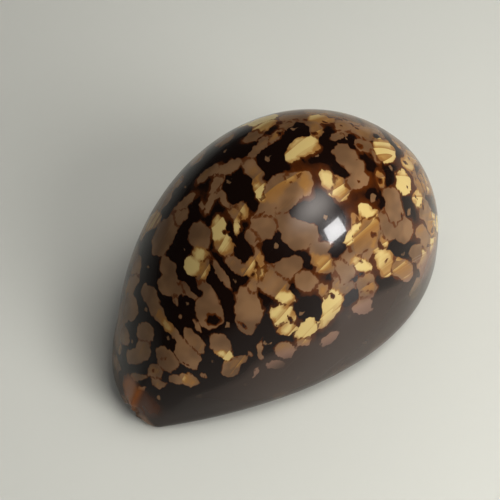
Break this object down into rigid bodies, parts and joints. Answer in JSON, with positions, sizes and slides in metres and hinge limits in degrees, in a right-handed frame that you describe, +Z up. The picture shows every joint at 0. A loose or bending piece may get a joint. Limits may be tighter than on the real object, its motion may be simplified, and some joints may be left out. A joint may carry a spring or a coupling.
{
  "type": "cowrie shell",
  "caption": "Large glossy humpbacked cowrie shell with a flat base, toothed slot mouth, end notches, dark margins and a brown net over tan and cream patches.",
  "frame": {"origin": "middle of the bounding box's bottom face, on the surface that the base rests on", "axes": "+X from the front end with the siphon notch to the broad back end, +Y to the outer-lip side, +Z up through the humped back"},
  "size_m": [0.082, 0.0538, 0.0465],
  "materials": {
    "shell": "natural high gloss, dark brown net over tan and cream patches"
  },
  "bodies": {
    "root": {"cowrie_shell": "shell"}
  },
  "joints": []
}
